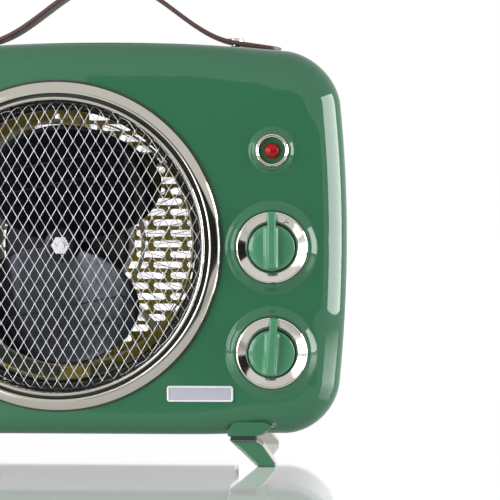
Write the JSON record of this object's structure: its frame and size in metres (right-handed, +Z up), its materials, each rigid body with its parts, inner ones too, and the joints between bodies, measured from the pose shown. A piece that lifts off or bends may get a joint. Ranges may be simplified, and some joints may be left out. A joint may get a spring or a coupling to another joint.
{
  "type": "fan heater",
  "caption": "Retro table-top fan heater with a round mesh-covered outlet, two rotary controls, a pilot light, a leather carrying strap and splayed feet.",
  "frame": {"origin": "on the table, under the middle of the box round the whole object", "axes": "+X to the right as seen from the front, +Y to the back, +Z up; the outlet faces -Y"},
  "size_m": [0.34, 0.169, 0.3425],
  "materials": {
    "green_gloss": "gloss",
    "pale_grey": "satin",
    "chrome": "polished",
    "mesh_steel": "bright wire",
    "yellow_steel": "yellow passivated",
    "black_plastic": "satin",
    "black_rubber": "matt",
    "black_paint": "semi-gloss",
    "fan_paint": "semi-gloss",
    "bright_steel": "zinc plated",
    "laminations": "bare",
    "copper": "enamelled copper",
    "bronze": "sintered",
    "mica": "mica board",
    "heating_wire": "oxidised",
    "badge_silver": "satin silver",
    "red_lens": "clear red",
    "cream_moulding": "satin",
    "leather": "waxed",
    "spacer_black": "matt"
  },
  "bodies": {
    "housing": {"front_shell": "green_gloss", "rear_shell": "pale_grey", "intake_plate": "yellow_steel", "plate_rivets": "bright_steel", "shell_screws": "bright_steel", "bezel_ring": "chrome", "bezel_gasket": "black_rubber", "grille_mesh": "mesh_steel", "grille_collar": "black_plastic", "bezel_screws": "bright_steel", "duct_ring": "yellow_steel", "duct_rivets": "bright_steel", "motor_stator": "laminations", "motor_coil": "copper", "motor_front_frame": "bright_steel", "motor_rear_frame": "bright_steel", "front_bush": "bronze", "rear_bush": "bronze", "motor_screws": "bright_steel", "motor_nuts": "bright_steel", "motor_cover": "black_paint", "motor_bracket": "yellow_steel", "bracket_screws": "bright_steel", "element_frame": "mica", "heating_wire_1": "heating_wire", "heating_wire_2": "heating_wire", "element_terminals": "bright_steel", "thermal_cutout": "black_paint", "selector_dial": "chrome", "selector_switch": "black_plastic", "thermostat_dial": "chrome", "thermostat_body": "cream_moulding", "control_plate": "bright_steel", "control_nuts": "bright_steel", "control_screws": "bright_steel", "lamp_ring": "chrome", "lamp_lens": "red_lens", "lamp_holder": "black_plastic", "badge_plate": "badge_silver", "handle_strap": "leather", "strap_studs": "chrome", "strap_spacers": "spacer_black", "strap_nuts": "bright_steel", "front_left_foot": "chrome", "front_right_foot": "chrome", "rear_left_foot": "chrome", "rear_right_foot": "chrome", "foot_facings": "green_gloss", "foot_pads": "black_plastic", "foot_screws": "bright_steel", "cord_gland": "black_rubber", "terminal_block": "cream_moulding"},
    "fan": {"fan_impeller": "fan_paint", "fan_nut": "bright_steel", "motor_shaft": "bright_steel", "motor_rotor": "laminations"},
    "selector": {"selector_knob": "green_gloss", "selector_spindle": "bright_steel"},
    "thermostat": {"thermostat_knob": "green_gloss", "thermostat_spindle": "bright_steel"}
  },
  "joints": [
    {"name": "fan_spin", "type": "hinge", "parent": "housing", "child": "fan", "pos_m": [-0.03, -0.0365, 0.152], "axis": [0, 1, 0], "continuous": true},
    {"name": "selector_turn", "type": "hinge", "parent": "housing", "child": "selector", "pos_m": [0.118, -0.0675, 0.1516], "axis": [0, 1, 0], "range_deg": [0, 90]},
    {"name": "thermostat_turn", "type": "hinge", "parent": "housing", "child": "thermostat", "pos_m": [0.118, -0.0675, 0.0792], "axis": [0, 1, 0], "range_deg": [-4, 266]}
  ]
}
